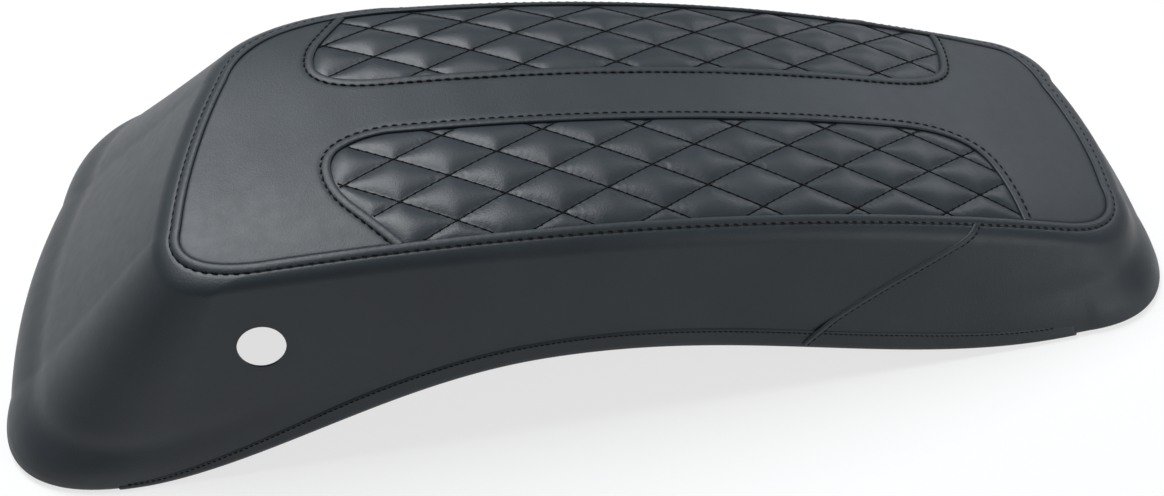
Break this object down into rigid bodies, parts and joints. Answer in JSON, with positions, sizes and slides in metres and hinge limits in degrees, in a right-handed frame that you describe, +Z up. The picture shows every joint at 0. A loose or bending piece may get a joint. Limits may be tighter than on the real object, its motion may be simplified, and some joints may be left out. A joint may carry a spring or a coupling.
{
  "type": "padded saddlebag lid",
  "caption": "Long arched lid of a hard motorcycle side case: rigid hollow shell under a fitted padded vinyl cover with diamond-quilted inlays, seamed skirts and a round lock hole.",
  "frame": {"origin": "middle of the lid's footprint, on the plane that its rim stands on", "axes": "+X towards the rear end of the lid, -X towards its front end, -Y towards the outboard side with the lock hole, +Z up"},
  "size_m": [0.6154, 0.2732, 0.1162],
  "materials": {
    "cover_vinyl": "charcoal upholstery vinyl with a fine grain, satin",
    "quilted_vinyl": "charcoal upholstery vinyl with a fine grain, satin, stretched over quilted padding",
    "thread": "black bonded upholstery thread",
    "foam": "grey open-cell padding foam",
    "backing_cloth": "grey knitted backing cloth",
    "shell_plastic": "moulded black plastic, fine spark texture",
    "seal_rubber": "black rubber seal, matt",
    "bond_tape": "pale double-sided bonding tape"
  },
  "bodies": {
    "root": {"lid_shell": "shell_plastic", "rim_seal": "seal_rubber", "centre_foam": "foam", "outboard_quilt_foam": "foam", "inboard_quilt_foam": "foam", "outboard_quilt_backing": "backing_cloth", "inboard_quilt_backing": "backing_cloth", "outboard_quilt_face": "quilted_vinyl", "inboard_quilt_face": "quilted_vinyl", "top_panel": "cover_vinyl", "front_skirt": "cover_vinyl", "rear_skirt": "cover_vinyl", "front_bond_tape": "bond_tape", "rear_bond_tape": "bond_tape", "perimeter_welt": "cover_vinyl", "perimeter_thread": "thread", "outboard_inlay_welt": "cover_vinyl", "inboard_inlay_welt": "cover_vinyl", "outboard_inlay_thread": "thread", "inboard_inlay_thread": "thread", "outboard_slant_welt": "cover_vinyl", "inboard_slant_welt": "cover_vinyl", "outboard_slant_thread": "thread", "inboard_slant_thread": "thread", "outboard_hem": "cover_vinyl", "inboard_hem": "cover_vinyl", "outboard_hem_thread": "thread", "inboard_hem_thread": "thread"}
  },
  "joints": []
}
